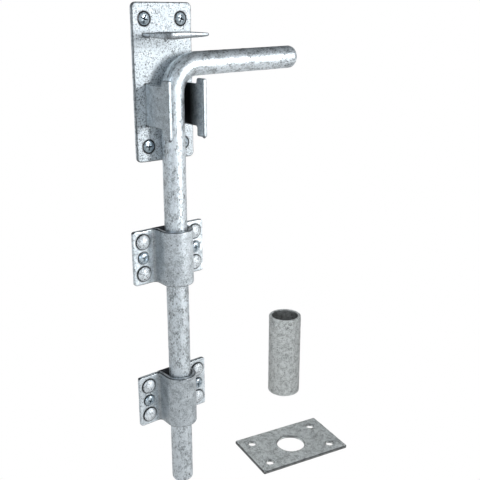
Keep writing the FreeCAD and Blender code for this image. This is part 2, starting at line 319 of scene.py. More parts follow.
def make_stage():
    """A pale floor under the fittings, and a white card where the gate's face is."""
    z = CAD_BOX[0].z - 0.1 * MM
    reach = (-FLOOR_REACH, FLOOR_REACH)
    corners = [(x, y, z) for x, y in rectangle(reach, reach)]
    floor = plane("floor", corners, white_material("floor_white", "ShaderNodeEmission"))
    guide_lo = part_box("guide_lower")[0]
    plate_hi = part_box("lock_plate")[1]
    width = (guide_lo.x - 68 * MM, -guide_lo.x + 15 * MM)
    height = (guide_lo.z - 12 * MM, plate_hi.z - 3 * MM)
    paper = one_sided(white_material("card_white", "ShaderNodeBsdfTransparent"))
    card = plane("gate_card", upright(width, 0.4 * MM, height), paper)
    card.visible_shadow = False
    make_gate_patches()


def make_gate_patches():
    """The gate's face behind the humps, where the card would show through as white: dark grey patches that
    stand for the shade there.
    """
    shaded_backing = bpy.data.materials.new("gate_grey")
    shaded_backing.use_nodes = True
    # Dark grey stands for the gate's face in shade
    shaded_backing.node_tree.nodes["Principled BSDF"].inputs["Base Color"].default_value = (*GATE_SHADOW_GREY, 1)
    one_sided(shaded_backing)
    half = 12 * MM
    for level in GUIDES:
        lo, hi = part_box("guide_" + level)
        corners = upright((-half, half), 0.3 * MM, (lo.z + MM, hi.z - 0.3 * MM))
        patch = plane("gate_patch_" + level, corners, shaded_backing)


# ---------------------------------------------------------------- materials

def ramp(nodes, low, high, low_at, high_at):
    node = nodes.new("ShaderNodeValToRGB")
    node.color_ramp.elements[0].position = low_at
    node.color_ramp.elements[0].color = (*low, 1)
    node.color_ramp.elements[1].position = high_at
    node.color_ramp.elements[1].color = (*high, 1)
    return node


def grey(value, cool):
    """A grey that leans to blue, or to green where cool is below 0."""
    if cool < 0:
        return (value * (1 + cool), value, value * (1 + cool / 4))
    return (value * (1 - cool), value * (1 - cool * 0.4), value)


def tinted(nodes, links, colour, amount, tint):
    """Multiplies a colour by a tint, a number or a socket, by an amount from 0 to 1 from another node."""
    mix = nodes.new("ShaderNodeMix")
    mix.data_type = "RGBA"
    mix.blend_type = "MULTIPLY"
    links.new(amount, mix.inputs["Factor"])
    links.new(colour, mix.inputs["A"])
    if isinstance(tint, float):
        mix.inputs["B"].default_value = (tint, tint, tint, 1)
    else:
        links.new(tint, mix.inputs["B"])
    return mix.outputs["Result"]


def maths(nodes, links, operation, first, second):
    """One sum on two values. Each is a socket or a number."""
    node = nodes.new("ShaderNodeMath")
    node.operation = operation
    for socket, value in zip(node.inputs, (first, second)):
        if isinstance(value, (int, float)):
            socket.default_value = value
        else:
            links.new(value, socket)
    return node.outputs["Value"]


def painted_edge_amount(nodes, links, shape):
    """From 0 to 1, how far a place counts as an edge, for the shade painted on edges, which on the tube is a
    painted highlight instead. On a flat piece that is where a face is rounded over, on a bent one where its
    ends are rounded over, and on a tube its level end faces."""
    face = nodes.new("ShaderNodeNewGeometry")
    split = nodes.new("ShaderNodeSeparateXYZ")
    links.new(face.outputs["Normal"], split.inputs["Vector"])
    squares = [maths(nodes, links, "MULTIPLY", split.outputs[a], split.outputs[a]) for a in "XYZ"]
    if shape == "tube":
        return squares[2]
    if shape == "bent":
        rest = maths(nodes, links, "SUBTRACT", 1.0, squares[2])
        return maths(nodes, links, "MULTIPLY", maths(nodes, links, "MULTIPLY", rest, squares[2]), 4.0)
    fourth = [maths(nodes, links, "MULTIPLY", q, q) for q in squares]
    total = maths(nodes, links, "ADD", maths(nodes, links, "ADD", fourth[0], fourth[1]), fourth[2])
    return maths(nodes, links, "MULTIPLY", maths(nodes, links, "SUBTRACT", 1.0, total), 2.0)


def channel_shade_amount(nodes, links, place):
    """How much shade is painted: 1 deep in the channel between the cheeks, falling to 0 towards its mouth."""
    split = nodes.new("ShaderNodeSeparateXYZ")
    links.new(place, split.inputs["Vector"])
    depth = nodes.new("ShaderNodeMapRange")
    depth.inputs["From Min"].default_value = CHANNEL_MOUTH_Y
    depth.inputs["From Max"].default_value = CHANNEL_DEEP_Y
    links.new(split.outputs["Y"], depth.inputs["Value"])
    off = maths(nodes, links, "ABSOLUTE", split.outputs["X"], 0.0)
    inner = maths(nodes, links, "LESS_THAN", off, CHANNEL_HALF_X)
    return maths(nodes, links, "MULTIPLY", depth.outputs["Result"], inner)


def mesh_value(nodes, name, output):
    """A value that the mesh holds for each of its points."""
    node = nodes.new("ShaderNodeAttribute")
    node.attribute_name = name
    return node.outputs[output]


def noise_value(nodes, links, place, scale, detail, roughness=0.5):
    node = nodes.new("ShaderNodeTexNoise")
    node.inputs["Scale"].default_value = scale
    node.inputs["Detail"].default_value = detail
    node.inputs["Roughness"].default_value = roughness
    links.new(place, node.inputs["Vector"])
    return node.outputs["Fac"]


def pitted(nodes, links, colour, place, grain, pit, pits_from):
    """Small dark pits, in loose groups that a noise above pits_from allows."""
    cells = nodes.new("ShaderNodeTexVoronoi")
    cells.inputs["Scale"].default_value = grain * PIT_SCALE
    links.new(place, cells.inputs["Vector"])
    spot = ramp(nodes, (1 - pit,) * 3, (1, 1, 1), *PIT_EDGE)
    links.new(cells.outputs["Distance"], spot.inputs["Fac"])
    allowed = ramp(nodes, (0, 0, 0), (1, 1, 1), pits_from, pits_from + PIT_FADE)
    links.new(noise_value(nodes, links, place, grain * PIT_GROUP_SCALE, 2), allowed.inputs["Fac"])
    return tinted(nodes, links, colour, allowed.outputs["Color"], spot.outputs["Color"])


def rescaled(nodes, links, value, low, high):
    """Maps the middle of a noise's range to low and high."""
    node = nodes.new("ShaderNodeMapRange")
    node.inputs["From Min"].default_value = 0.3
    node.inputs["From Max"].default_value = 0.7
    node.inputs["To Min"].default_value = low
    node.inputs["To Max"].default_value = high
    links.new(value, node.inputs["Value"])
    return node.outputs["Result"]


def zinc(name, dark, light, grain, rough, metal, bump=0.10, cool=0.09, patch=0.35, spread=(0.40, 0.58),
         pit=0.0, pits_from=0.47, edge=1.0, shape="flat", channel_shade=1.0, drawn=False):
    """Zinc coating: cloudy patches, a fine grain, small dark pits, painted shade where the mesh marks it at
    heads, roots and folds, and painted shade on rounded edges that is a painted highlight on the tube's rim.
    drawn lays the texture along the bar, and a channel tint below 1 paints shade deep in the cheeks' channel."""
    mat = bpy.data.materials.new(name)
    mat.use_nodes = True
    nodes, links = mat.node_tree.nodes, mat.node_tree.links
    shader = nodes["Principled BSDF"]
    if drawn:
        place = mesh_value(nodes, "along", "Vector")
    else:
        place = nodes.new("ShaderNodeTexCoord").outputs["Object"]
    cloud = noise_value(nodes, links, place, grain * CLOUD_SCALE, 5, 0.6)
    fine = noise_value(nodes, links, place, grain, 4, 0.7)
    both = nodes.new("ShaderNodeMix")
    both.data_type = "FLOAT"
    both.inputs["Factor"].default_value = patch
    links.new(fine, both.inputs["A"])
    links.new(cloud, both.inputs["B"])
    tone = ramp(nodes, grey(dark, cool * 1.5), grey(light, cool), *spread)
    links.new(both.outputs["Result"], tone.inputs["Fac"])
    colour = tone.outputs["Color"]
    if pit > 0:
        colour = pitted(nodes, links, colour, place, grain, pit, pits_from)
    # Painted shade on rounded edges where edge is below 1, and a painted highlight where it is above 1
    if edge != 1.0:
        colour = tinted(nodes, links, colour, painted_edge_amount(nodes, links, shape), edge)
    # Painted shade where the mesh marks it: round heads, along roots and folds, over the humps, at bores and
    # rims
    colour = tinted(nodes, links, colour, mesh_value(nodes, "grime", "Fac"), PAINTED_SHADE_TINT)
    # Painted shade deep in the channel between the cheeks
    if channel_shade != 1.0:
        colour = tinted(nodes, links, colour, channel_shade_amount(nodes, links, place), channel_shade)
    links.new(colour, shader.inputs["Base Color"])
    links.new(rescaled(nodes, links, cloud, *rough), shader.inputs["Roughness"])
    shader.inputs["Metallic"].default_value = metal
    relief = nodes.new("ShaderNodeBump")
    relief.inputs["Strength"].default_value = 0.6
    relief.inputs["Distance"].default_value = bump * MM
    links.new(both.outputs["Result"], relief.inputs["Height"])
    links.new(relief.outputs["Normal"], shader.inputs["Normal"])
    return mat


# Each finish: its tones, its grain, its roughness and what else differs from plain zinc
# edge below 1 paints shade on rounded edges, the tube's 1.5 paints a highlight on its level rim, and the
# cheeks' channel tint paints shade between them
FINISHES = {
    "bar": dict(dark=0.24, light=0.86, grain=1100, rough=(0.36, 0.50), metal=0.8, bump=0.09, cool=0.12,
                patch=0.42, spread=(0.38, 0.53), pit=0.65, pits_from=0.46, drawn=True),
    "plate": dict(dark=0.20, light=0.74, grain=1250, rough=(0.50, 0.70), metal=0.4, cool=0.12,
                  patch=0.3, spread=(0.42, 0.50), pit=0.95, pits_from=0.40, edge=0.25),
    "hook": dict(dark=0.22, light=0.90, grain=1250, rough=(0.42, 0.62), metal=0.5, cool=0.12,
                 patch=0.2, spread=(0.41, 0.50), pit=0.9, edge=0.30),
    "cheek": dict(dark=0.40, light=0.84, grain=1200, rough=(0.40, 0.58), metal=0.7, cool=0.13,
                  patch=0.4, pit=0.7, edge=0.35, channel_shade=0.03),
    "guide": dict(dark=0.40, light=1.00, grain=1000, rough=(0.34, 0.48), metal=0.65, cool=0.12,
                  patch=0.4, spread=(0.37, 0.56), pit=0.65, edge=0.12, shape="bent"),
    "bolt": dict(dark=0.26, light=0.88, grain=1000, rough=(0.45, 0.60), metal=0.4, bump=0.12,
                 patch=0.3, spread=(0.41, 0.52), pit=0.7),
    "screw": dict(dark=0.25, light=0.85, grain=900, rough=(0.22, 0.34), metal=0.85, bump=0.03,
                  cool=0.2, patch=0.6),
    # A near-black finish that paints shade on the rims and in the recesses of heads
    "seam": dict(dark=0.01, light=0.03, grain=900, rough=(0.5, 0.7), metal=0.3, cool=0.3),
    "tube": dict(dark=0.20, light=0.66, grain=1200, rough=(0.50, 0.65), metal=0.10, cool=-0.04,
                 spread=(0.40, 0.53), pit=0.8, edge=1.5, shape="tube"),
    "ground": dict(dark=0.24, light=0.84, grain=1200, rough=(0.50, 0.65), metal=0.10, cool=-0.04,
                   spread=(0.40, 0.53), pit=0.8, edge=0.25),
}


# ---------------------------------------------------------------- names and boxes of the CAD nodes

def node_names(kind, *parts):
    """The nodes of one kind, one for each mix of the parts, such as a level and a side."""
    return ["_".join((kind,) + mix) for mix in itertools.product(*parts)]


def centre_of(node, axes="xz"):
    """The middle of a node's box on two axes."""
    lo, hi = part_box(node)
    return tuple((getattr(lo, a) + getattr(hi, a)) / 2 for a in axes)


def radius_of(node):
    """Half of a round node's width."""
    lo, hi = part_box(node)
    return (hi.x - lo.x) / 2


# ---------------------------------------------------------------- mesh helpers

def link(obj):
    bpy.context.scene.collection.objects.link(obj)
    return obj


def mesh_object(name, verts, faces):
    mesh = bpy.data.meshes.new(name)
    mesh.from_pydata([tuple(v) for v in verts], [], faces)
    mesh.validate()
    return link(bpy.data.objects.new(name, mesh))


def bake(obj):
    """Applies the object's modifiers and its place, and leaves one plain mesh."""
    bpy.context.view_layer.update()
    graph = bpy.context.evaluated_depsgraph_get()
    mesh = bpy.data.meshes.new_from_object(obj.evaluated_get(graph))
    mesh.transform(obj.matrix_world)
    old = obj.data
    if obj.type == "MESH":
        obj.modifiers.clear()
        obj.data = mesh
        obj.matrix_world = Matrix.Identity(4)
        bpy.data.meshes.remove(old)
        return obj
    name = obj.name
    bpy.data.objects.remove(obj)
    bpy.data.curves.remove(old)
    return link(bpy.data.objects.new(name, mesh))


def join(name, objs):
    """One object out of several meshes."""
    body = bmesh.new()
    for obj in objs:
        body.from_mesh(obj.data)
    for obj in objs:
        bpy.data.objects.remove(obj)
    return mesh_from(name, body)


def mesh_from(name, body):
    """An object out of a bmesh, which it frees."""
    mesh = bpy.data.meshes.new(name)
    body.to_mesh(mesh)
    body.free()
    return link(bpy.data.objects.new(name, mesh))


def boolean(obj, other, operation):
    step = obj.modifiers.new("cut", "BOOLEAN")
    step.operation = operation
    step.solver = "EXACT"
    step.use_self = True
    step.object = other
    bake(obj)
    bpy.data.objects.remove(other)
    return obj


def arc_points(centre, radius, start, end, steps):
    """Points on an arc, from one angle to another, in degrees."""
    turns = [math.radians(start + (end - start) * i / steps) for i in range(steps + 1)]
    return [(centre[0] + radius * math.cos(t), centre[1] + radius * math.sin(t)) for t in turns]


def round_corners(points, radius, steps=6):
    """A closed outline with each corner rounded. radius is a number, or one for each corner."""
    count = len(points)
    radii = radius if hasattr(radius, "__len__") else [radius] * count
    out = []
    for i, corner in enumerate(points):
        p = Vector(corner)
        back = (Vector(points[i - 1]) - p).normalized()
        ahead = (Vector(points[(i + 1) % count]) - p).normalized()
        half = back.angle(ahead) / 2
        if radii[i] <= 0:
            out.append(tuple(p))
            continue
        run = radii[i] / math.tan(half)
        middle = p + (back + ahead).normalized() * radii[i] / math.sin(half)
        a = p + back * run - middle
        b = p + ahead * run - middle
        for k in range(steps + 1):
            way = a.lerp(b, k / steps)
            way = way.normalized() * radii[i]
            out.append(tuple(middle + way))
    return out


def rectangle(x, y):
    return [(x[0], y[0]), (x[1], y[0]), (x[1], y[1]), (x[0], y[1])]


def circle(centre, radius, steps=40):
    return arc_points(centre, radius, 0, 360 - 360 / steps, steps - 1)


PLANES = {
    "xy": Matrix.Identity(4),
    "xz": Matrix(((1, 0, 0, 0), (0, 0, 1, 0), (0, 1, 0, 0), (0, 0, 0, 1))),
    "yz": Matrix(((0, 0, 1, 0), (1, 0, 0, 0), (0, 1, 0, 0), (0, 0, 0, 1))),
}


def quads(rows, sides):
    """The faces between rows of points, each a closed ring."""
    faces = []
    for i in range(rows):
        for k in range(sides):
            a, b = i * sides + k, i * sides + (k + 1) % sides
            faces.append((a, b, b + sides, a + sides))
    return faces


def slab(name, plane_name, outlines, low, high, edge):
    """A flat piece: outlines in a plane, from low to high across it, with rounded edges."""
    curve = bpy.data.curves.new(name, "CURVE")
    curve.dimensions = "2D"
    curve.fill_mode = "BOTH"
    for points in outlines:
        line = curve.splines.new("POLY")
        line.points.add(len(points) - 1)
        for point, (u, v) in zip(line.points, points):
            point.co = (u, v, 0, 1)
        line.use_cyclic_u = True
    curve.extrude = (high - low) / 2 - edge
    curve.bevel_depth = edge
    curve.bevel_resolution = 2
    curve.offset = -edge
    obj = link(bpy.data.objects.new(name, curve))
    lift = Matrix.Translation((0, 0, (low + high) / 2))
    obj.matrix_world = PLANES[plane_name] @ lift
    obj = bake(obj)
    if PLANES[plane_name].determinant() < 0:
        obj.data.flip_normals()
    weld(obj)
    return obj


def weld(obj, gap=0.002 * MM):
    body = bmesh.new()
    body.from_mesh(obj.data)
    bmesh.ops.remove_doubles(body, verts=body.verts, dist=gap)
    bmesh.ops.recalc_face_normals(body, faces=body.faces)
    body.to_mesh(obj.data)
    body.free()


def ball(name, centre, radii, rings=12):
    """An ellipsoid, for a drop of zinc."""
    body = bmesh.new()
    bmesh.ops.create_uvsphere(body, u_segments=rings * 2, v_segments=rings, radius=1)
    body.transform(Matrix.Translation(centre) @ Matrix.Diagonal((*radii, 1)))
    return mesh_from(name, body)


def tube_between(name, start, end, radius, sides=20):
    """A round bar between two points."""
    body = bmesh.new()
    way = Vector(end) - Vector(start)
    size = dict(radius1=radius, radius2=radius, depth=way.length)
    bmesh.ops.create_cone(body, cap_ends=True, segments=sides, **size)
    turn = way.to_track_quat("Z", "Y").to_matrix().to_4x4()
    body.transform(Matrix.Translation((Vector(start) + Vector(end)) / 2) @ turn)
    return mesh_from(name, body)


def dipped(obj, voxel=SKIN_VOXEL):
    """Melts the parts of a piece together under one even skin, as a zinc bath does."""
    skin = obj.modifiers.new("skin", "REMESH")
    skin.mode = "VOXEL"
    skin.voxel_size = voxel
    soft = obj.modifiers.new("soft", "SMOOTH")
    soft.factor = 0.5
    soft.iterations = SKIN_SMOOTH
    return bake(obj)


def lumpy(obj, size, seed, height=LUMP):
    """Moves each point along its normal by a smooth noise, as uneven zinc lies."""
    mesh = obj.data
    count = len(mesh.vertices)
    co = points_of(obj)
    normals = np.zeros(count * 3)
    mesh.vertex_normals.foreach_get("vector", normals)
    normals = normals.reshape(-1, 3)
    shift = Vector((seed * 3.1, seed * 1.7, seed * 2.3))
    amount = np.array([noise.fractal(Vector(p) / size + shift, 0.8, 2.2, 3) for p in co])
    co += normals * (amount * height)[:, None]
    mesh.vertices.foreach_set("co", co.ravel())
    mesh.update()


def ring_gap(co, node):
    """How far points stand outside a round CAD node, seen from the front. Inside it is below 0."""
    x, z = centre_of(node)
    return np.hypot(co[:, 0] - x, co[:, 2] - z) - radius_of(node)


def box_gap(co, x, z):
    """How far points stand outside a rectangle in X and Z."""
    off_x = np.maximum(x[0] - co[:, 0], co[:, 0] - x[1])
    off_z = np.maximum(z[0] - co[:, 2], co[:, 2] - z[1])
    return np.maximum(off_x, off_z)


def grime(obj, marks, behind=None):
    """Marks where shade is painted on the skin, for its material. A mark is distances, a reach and a depth up
    to 1.
    Nothing is marked behind a place on Y, if one is given."""
    amount = np.zeros(len(obj.data.vertices))
    for gap, reach, depth in marks:
        amount = np.maximum(amount, depth * np.clip(1.4 - np.abs(gap) / reach, 0.0, 1.0))
    if behind is not None:
        amount[points_of(obj)[:, 1] > behind] = 0.0
    layer = obj.data.attributes.new("grime", "FLOAT", "POINT")
    layer.data.foreach_set("value", amount)


def points_of(obj):
    """The places of a mesh's points, one row for each."""
    co = np.zeros(len(obj.data.vertices) * 3)
    obj.data.vertices.foreach_get("co", co)
    return co.reshape(-1, 3)


def inside_box(obj):
    """Keeps a piece within the CAD model's box."""
    co = np.clip(points_of(obj), CAD_BOX[0], CAD_BOX[1])
    obj.data.vertices.foreach_set("co", co.ravel())
    obj.data.update()


def shade(obj, material, body=FIXED, sharp=None):
    """Gives a piece its finish and its body, and smooths its faces."""
    inside_box(obj)
    obj.data.materials.clear()
    obj.data.materials.append(material)
    obj.data.shade_smooth()
    if sharp is not None:
        obj.data.set_sharp_from_angle(angle=math.radians(sharp))
    if body:
        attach(obj, body)


# ---------------------------------------------------------------- the cane

def cane_line():
    """The bar's centre line from its tip to the handle's end, with its directions."""
    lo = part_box("cane_rod")[0]
    end_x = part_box("cane_handle")[1].x
    x, y = centre_of("cane_rod", "xy")
    turn = math.pi / 2 - HANDLE_RISE
    straight = int((BEND_START_Z - lo.z) / CANE_STEP)
    line = []
    for i in range(straight + 1):
        line.append((Vector((x, y, lo.z + (BEND_START_Z - lo.z) * i / straight)), 0.0))
    for i in range(1, BEND_STEPS + 1):
        a = turn * i / BEND_STEPS
        line.append((Vector((x + BEND_R * (1 - math.cos(a)), y, BEND_START_Z + BEND_R * math.sin(a))), a))
    way = Vector((math.sin(turn), 0, math.cos(turn)))
    start = line[-1][0]
    length = (end_x - start.x) / way.x
    count = int(length / CANE_STEP)
    for i in range(1, count + 1):
        line.append((start + way * length * i / count, turn))
    return line


def cane_rings(line, radius):
    """Places, directions and radii along the bar, with a rounded tip and a rounded handle end."""
    tip = line[0][0]
    end, end_turn = line[-1]
    way = Vector((math.sin(end_turn), 0, math.cos(end_turn)))
    rings = []
    for i in range(ROUND_STEPS + 1):
        inset = 1 - math.sin(math.pi / 2 * i / ROUND_STEPS)
        drop = 1 - math.cos(math.pi / 2 * i / ROUND_STEPS)
        rings.append((tip + Vector((0, 0, TIP_ROUND * drop)), 0.0, radius - TIP_ROUND * inset))
    for place, turn in line:
        if (place - tip).length > TIP_ROUND * 1.2 and (place - end).length > HANDLE_ROUND * 1.2:
            rings.append((place, turn, radius))
    for i in range(ROUND_STEPS + 1):
        inset = 1 - math.cos(math.pi / 2 * i / ROUND_STEPS)
        drop = 1 - math.sin(math.pi / 2 * i / ROUND_STEPS)
        rings.append((end - way * HANDLE_ROUND * drop, end_turn, radius - HANDLE_ROUND * inset))
    return rings


def swept(name, rings, sides=72):
    """A round bar through rings. Its points hold where they lie along it, for the drawn texture."""
    verts, faces, along = [], [], []
    run, last = 0.0, rings[0][0]
    for place, turn, r in rings:
        across = Vector((math.cos(turn), 0, -math.sin(turn)))
        run += (place - last).length
        last = place
        for k in range(sides):
            t = 2 * math.pi * k / sides
            verts.append(place + across * (r * math.cos(t)) + Vector((0, r * math.sin(t), 0)))
            along.append((r * math.cos(t), r * math.sin(t), run * DRAWN_SCALE))
    faces += quads(len(rings) - 1, sides)
    for ring, place in ((0, rings[0][0]), (len(rings) - 1, rings[-1][0])):
        hub = len(verts)
        verts.append(place)
        along.append((0.0, 0.0, run * DRAWN_SCALE if ring else 0.0))
        for k in range(sides):
            a, b = ring * sides + k, ring * sides + (k + 1) % sides
            faces.append((b, a, hub) if ring == 0 else (a, b, hub))
    bar = mesh_object(name, verts, faces)
    layer = bar.data.attributes.new("along", "FLOAT_VECTOR", "POINT")
    layer.data.foreach_set("vector", np.array(along).ravel())
    return bar


def make_cane(material):
    """One bent bar over both of its CAD nodes."""
    cane = swept("cane", cane_rings(cane_line(), radius_of("cane_rod")))
    weld(cane)
    lumpy(cane, size=6 * MM, seed=1)
    shade(cane, material, None)
    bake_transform(cane)
    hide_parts("cane_rod", "cane_handle")
    return cane


# ---------------------------------------------------------------- plate, cheeks and hook

def make_lock_plate(material):
    lo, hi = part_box("lock_plate")
    screws = node_names("plate_screw", LEVELS, SIDES)
    outlines = [round_corners(rectangle((lo.x, hi.x), (lo.z, hi.z)), PLATE_CORNER_R, 8)]
    outlines += [circle(centre_of(node), radius_of(node) - SCREW_SEAT, 48) for node in screws]
    plate = slab("lock_plate_skin", "xz", outlines, lo.y, hi.y, edge=0.7 * MM)
    dipped(plate)
    lumpy(plate, size=7 * MM, seed=2, height=0.12 * MM)
    co = points_of(plate)
    # Painted shade in rings round the screw heads and along the roots of the cheeks and the hook
    marks = [(ring_gap(co, node), *PLATE_HEAD_SHADE) for node in screws]
    for side in SIDES:
        a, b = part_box("cheek_" + side)
        marks.append((box_gap(co, (a.x, b.x), CHEEK_ROOT_Z), *ROOT_SHADE))
    hook_root_z = (HOOK_ARM_UNDER[-1] * MM, HOOK_ARM_TOP[-1] * MM)
    marks.append((box_gap(co, HOOK_ARM_X, hook_root_z), *ROOT_SHADE))
    grime(plate, marks, -SHEET_T / 2)
    shade(plate, material)
    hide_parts("lock_plate")


def make_cheek(side, material):
    """A cheek with a thin weld bead on each side of its root, and a drop of zinc at its foot."""
    node = "cheek_" + side
    lo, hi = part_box(node)
    root_low, root_high = CHEEK_ROOT_Z
    outline = [(hi.y, root_low), (hi.y, root_high), (CHEEK_HORN_Y, root_high), (CHEEK_HORN_Y, hi.z),
               (lo.y, hi.z), (lo.y, lo.z), (CHEEK_HORN_Y, lo.z), (CHEEK_HORN_Y, root_low)]
    small, notch = 1.0 * MM, 1.8 * MM
    radii = [0.4 * MM, 0.4 * MM, notch, small, small, small, small, notch]
    wall = slab(node + "_skin", "yz", [round_corners(outline, radii, 6)], lo.x, hi.x, edge=0.6 * MM)
    bead = 0.7 * MM
    low, high = root_low + bead, root_high - bead
    beads = [tube_between("bead", (x, hi.y, low), (x, hi.y, high), bead) for x in (lo.x, hi.x)]
    drop_place = Vector(((lo.x + hi.x) / 2, lo.y + 1.6 * MM, lo.z))
    drop = ball("drop", drop_place, (1.1 * MM, 0.9 * MM, 1.0 * MM))
    wall = join(node + "_skin", [wall, drop] + beads)
    dipped(wall, voxel=0.4 * MM)
    lumpy(wall, size=5 * MM, seed=3 + SIDES.index(side))
    shade(wall, material)
    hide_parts(node)


def make_hook(material):
    """The park hook: an arm from the plate and a strip across, with a weld bead and a drip of zinc."""
    lo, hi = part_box("park_hook")
    (left, inner), back = HOOK_ARM_X, HOOK_STRIP_BACK
    corner = inner - left - 1.5 * MM
    outline = [(left, hi.y), (left + 0.8 * MM, lo.y + corner), (left + corner, lo.y), (hi.x - MM, lo.y),
               (hi.x, back), (inner, back), (inner, hi.y)]
    radii = [0.3 * MM, 4 * MM, 3 * MM, 2.5 * MM, 2.5 * MM, 2.5 * MM, 0.3 * MM]
    hook = slab("park_hook_skin", "xy", [round_corners(outline, radii, 8)], 0, HOOK_SLAB, edge=1.1 * MM)
    dipped(hook, HOOK_VOXEL)
    taper_hook(hook)
    root_z = (lo.z + hi.z) / 2 - 1.0 * MM
    bead = tube_between("bead", (left + MM, hi.y, root_z), (inner - MM, hi.y, root_z), 1.3 * MM)
    drip_place = Vector((left + 2.4 * MM, lo.y + 4.6 * MM, lo.z + 1.0 * MM))
    drip = ball("drip", drip_place, (1.2 * MM, 1.2 * MM, 2.4 * MM))
    hook = join("park_hook_skin", [hook, bead, drip])
    dipped(hook, HOOK_VOXEL)
    lumpy(hook, size=5 * MM, seed=6)
    shade(hook, material)
    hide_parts("park_hook")


def taper_hook(hook):
    """Gives the flat hook its heights, and draws its lower front edge back."""
    front = HOOK_STRIP_BACK - HOOK_FRONT_DEPTH
    for v in hook.data.vertices:
        x, y, share = v.co.x / MM, v.co.y / MM, v.co.z / HOOK_SLAB
        top = min(np.interp(x, HOOK_STRIP_AT, HOOK_STRIP_TOP), np.interp(y, HOOK_ARM_AT, HOOK_ARM_TOP))
        under = max(np.interp(x, HOOK_STRIP_AT, HOOK_STRIP_UNDER), np.interp(y, HOOK_ARM_AT, HOOK_ARM_UNDER))
        v.co.z = (under + (top - under) * share) * MM
        near_front = max(0.0, min(1.0, (front - v.co.y) / HOOK_FRONT_DEPTH))
        v.co.y += max(0.0, 0.5 - share) * HOOK_UNDERCUT * near_front


# ---------------------------------------------------------------- guides

def strap_outline():
    """The hat section from above: wings, bends and a round hump, front and back."""
    lo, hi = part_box("guide_upper")
    axis_y = centre_of("cane_rod", "xy")[1]
    bore = radius_of("cane_rod") + STRAP_PLAY
    wing = bore + STRAP_BEND_R
    front, back = [], []
    for points, off in ((back, 0.0), (front, SHEET_T)):
        r = STRAP_BEND_R - off
        points.append((lo.x, -off))
        points.extend(arc_points((-wing, -STRAP_BEND_R), r, 90, 0, 10))
        points.extend(arc_points((0, axis_y), bore + off, 180, 360, 40))
        points.extend(arc_points((wing, -STRAP_BEND_R), r, 180, 90, 10))
        points.append((hi.x, -off))
    return back + front[::-1]


def guide_cutters(level, lo, hi):
    """The round and square holes in a guide's wings."""
    cutters = []
    for side in SIDES:
        x, z = centre_of("guide_screw_%s_%s" % (level, side))
        cutters.append(tube_between("cut", (x, lo.y, z), (x, hi.y + MM, z), 2.3 * MM))
        for node in node_names("carriage_bolt", (level,), (side,), LEVELS):
            x, z = centre_of(node)
            half = BOLT_SQUARE / 2 + 0.1 * MM
            square = rectangle((x - half, x + half), (z - half, z + half))
            cutters.append(slab("cut", "xz", [square], lo.y + 15 * MM, hi.y + MM, SHARP_EDGE))
    return join("cuts", cutters)


def make_guide(level, material, seed):
    node = "guide_" + level
    lo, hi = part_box(node)
    strap = slab(node + "_skin", "xy", [strap_outline()], lo.z, hi.z, edge=0.5 * MM)
    front_shape = round_corners(rectangle((lo.x, hi.x), (lo.z, hi.z)), GUIDE_CORNER_R, 6)
    trim = slab("trim", "xz", [front_shape], lo.y - MM, hi.y + MM, SHARP_EDGE)
    boolean(strap, trim, "INTERSECT")
    boolean(strap, guide_cutters(level, lo, hi), "DIFFERENCE")
    dipped(strap)
    lumpy(strap, size=9 * MM, seed=seed)
    co = points_of(strap)
    # Painted shade round the heads and at the folds, and a lighter painted shade over the whole hump
    past_fold = np.abs(co[:, 0]) - STRAP_FOLD_X
    heads = node_names("guide_screw", (level,), SIDES)
    heads += node_names("carriage_bolt", (level,), SIDES, LEVELS)
    marks = [(ring_gap(co, head), *GUIDE_HEAD_SHADE) for head in heads]
    marks.append((past_fold, *FOLD_SHADE))
    marks.append((np.maximum(past_fold, 0.0), *HUMP_SHADE))
    grime(strap, marks, -SHEET_T / 2)
    shade(strap, material)
    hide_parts(node)
    return strap


# ---------------------------------------------------------------- fasteners

def lathe(name, profile, sides=48):
    """A round piece about +Y, from (radius, y) points. It is closed where the radius is 0."""
    verts, faces, rings = [], [], []
    for r, y in profile:
        if r <= 0:
            rings.append([len(verts)])
            verts.append((0, y, 0))
            continue
        rings.append(list(range(len(verts), len(verts) + sides)))
        for k in range(sides):
            t = 2 * math.pi * k / sides
            verts.append((r * math.cos(t), y, r * math.sin(t)))
    for a, b in zip(rings, rings[1:]):
        for k in range(sides):
            n = (k + 1) % sides
            if len(a) == 1:
                faces.append((a[0], b[n], b[k]))
            elif len(b) == 1:
                faces.append((a[k], a[n], b[0]))
            else:
                faces.append((a[k], a[n], b[n], b[k]))
    obj = mesh_object(name, verts, faces)
    weld(obj)
    return obj


def cap_profile(radius, base, height, steps=10):
    """A dome's points, from its top on the axis down to its rim."""
    big = (radius ** 2 + height ** 2) / (2 * height)
    rim = math.asin(radius / big)
    points = [(0.0, base - height)]
    for i in range(1, steps + 1):
        a = rim * i / steps
        points.append((big * math.sin(a), base - height + big * (1 - math.cos(a))))
    return points


def threaded(name, start, end, core, crest, pitch, point=0.0, sides=28, flat=0.25):
    """A threaded shank about +Y with a helical ridge, and a point at its end if asked. flat is the
    share of the pitch that lies between two ridges."""
    per_turn, blunt = 8, 0.06
    count = int((end - start) / pitch * per_turn)
    verts = []
    for i in range(count + 1):
        y = start + (end - start) * i / count
        left = max(0.0, end - y)
        slim = min(1.0, left / point + blunt) if point else 1.0
        fade_out = 1.0 if point else min(1.0, (count - i) / (per_turn * 0.5))
        fade = min(1.0, i / per_turn) * fade_out
        for k in range(sides):
            t = 2 * math.pi * k / sides
            phase = (y / pitch - k / sides) % 1.0
            ridge = max(0.0, 1 - abs(phase - 0.5) / (0.5 - flat / 2)) ** 0.8
            r = (core + (crest - core) * ridge * fade) * slim
            verts.append((r * math.cos(t), y, r * math.sin(t)))
    faces = quads(count, sides)
    faces.append(tuple(range(sides)))
    faces.append(tuple(range(count * sides, (count + 1) * sides))[::-1])
    obj = mesh_object(name, verts, faces)
    weld(obj)
    return obj


